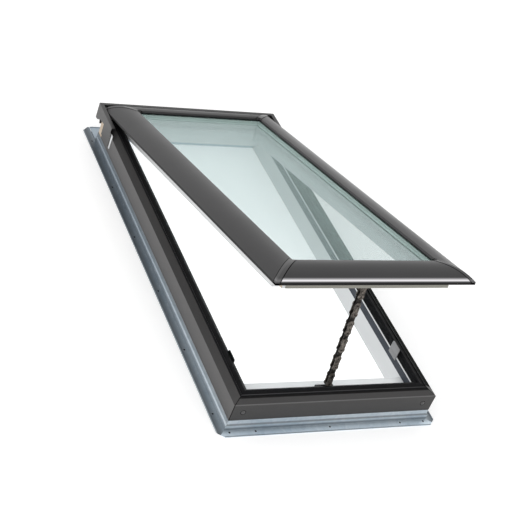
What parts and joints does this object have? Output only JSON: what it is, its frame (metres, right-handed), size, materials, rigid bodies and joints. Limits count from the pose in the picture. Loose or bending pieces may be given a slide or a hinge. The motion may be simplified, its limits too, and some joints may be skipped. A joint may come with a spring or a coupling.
{
  "type": "roof skylight",
  "caption": "Top-hung roof skylight, shown open: clad wood frame with nailing flange, double-glazed sash and a crank-driven push chain.",
  "frame": {"origin": "middle of the four corner nail holes of the flange, on the plane of the roof deck", "axes": "+Z out of the roof, +Y up the roof towards the hinge, +X to the right seen from below the skylight"},
  "size_m": [0.636, 1.2725, 0.4392],
  "materials": {
    "white_wood": "white paint on pine, raw pine where hidden",
    "cladding_metal": "satin grey-brown coating",
    "cover_metal": "satin grey coating",
    "galvanised": "galvanised sheet",
    "bright_steel": "zinc plated sheet",
    "dark_steel": "black sheet",
    "black_rubber": "matt black",
    "track_plastic": "dark blue-grey",
    "black_plastic": "matt black",
    "screw_steel": "zinc plated",
    "painted_screw": "painted to match the cladding",
    "operator_metal": "die cast",
    "white_plastic": "white",
    "brass": "machined",
    "clear_glass": "clear, slightly green",
    "spacer_metal": "anodised",
    "chain_steel": "dark oiled steel"
  },
  "bodies": {
    "frame": {"frame_bottom_rail": "white_wood", "frame_top_rail": "white_wood", "frame_left_rail": "white_wood", "frame_right_rail": "white_wood", "cladding_bottom": "cladding_metal", "cladding_left": "cladding_metal", "cladding_right": "cladding_metal", "cladding_screws": "painted_screw", "flange_bottom": "galvanised", "flange_top": "galvanised", "flange_left": "galvanised", "flange_right": "galvanised", "frame_gasket": "black_rubber", "top_gasket": "black_rubber", "track_left": "track_plastic", "track_right": "track_plastic", "catch_plate_left": "dark_steel", "catch_plate_right": "bright_steel", "catch_screws": "screw_steel", "top_hood": "cladding_metal", "hood_strip_left": "bright_steel", "hood_strip_right": "bright_steel", "hinge_leaf_frame_left": "bright_steel", "hinge_leaf_frame_right": "bright_steel", "hinge_pins": "screw_steel", "hinge_screws_frame": "screw_steel", "operator_housing": "operator_metal", "operator_cover": "white_plastic", "operator_screws": "screw_steel", "chain_outlet": "black_plastic"},
    "sash": {"sash_bottom_rail": "white_wood", "sash_top_rail": "white_wood", "sash_left_rail": "white_wood", "sash_right_rail": "white_wood", "sash_cover_bottom": "cover_metal", "sash_cover_top": "cover_metal", "sash_cover_left": "cover_metal", "sash_cover_right": "cover_metal", "corner_strips": "cover_metal", "cover_clips": "black_plastic", "sash_drip_strip": "cover_metal", "glass_outer": "clear_glass", "glass_inner": "clear_glass", "glass_spacer": "spacer_metal", "glazing_gasket": "black_rubber", "hinge_leaf_sash_left": "bright_steel", "hinge_leaf_sash_right": "bright_steel", "hinge_screws_sash": "screw_steel", "chain_bracket": "bright_steel", "bracket_pin": "screw_steel"},
    "chain": {"chain_outer_links": "chain_steel", "chain_inner_links": "chain_steel", "chain_pins": "chain_steel", "chain_end_eye": "chain_steel"},
    "sprocket": {"drive_sprocket": "operator_metal", "worm_wheel": "brass"},
    "spindle": {"worm_spindle": "operator_metal"}
  },
  "joints": [
    {"name": "sash_hinge", "type": "hinge", "parent": "frame", "child": "sash", "pos_m": [0, 0.576, 0.092], "axis": [-1, 0, 0], "range_deg": [-16, 0], "deforming": ["chain_outer_links", "chain_inner_links", "chain_pins", "chain_end_eye"]},
    {"name": "chain_tilt", "type": "hinge", "parent": "frame", "child": "chain", "pos_m": [-0.002, -0.548, 0.066], "axis": [-1, 0, 0], "range_deg": [-7.2, 0]},
    {"name": "sprocket_spin", "type": "hinge", "parent": "frame", "child": "sprocket", "pos_m": [0.024, -0.548, 0.024], "axis": [0, 1, 0], "range_deg": [-1280, 0]},
    {"name": "spindle_spin", "type": "hinge", "parent": "frame", "child": "spindle", "pos_m": [0.0425, -0.548, 0.02], "axis": [0, 0, 1], "range_deg": [-7680, 0]}
  ],
  "couplings": [
    {"joint": "chain_tilt", "follows": "sash_hinge", "ratio": 0.448},
    {"joint": "sprocket_spin", "follows": "sash_hinge", "ratio": 80},
    {"joint": "spindle_spin", "follows": "sash_hinge", "ratio": 480}
  ]
}
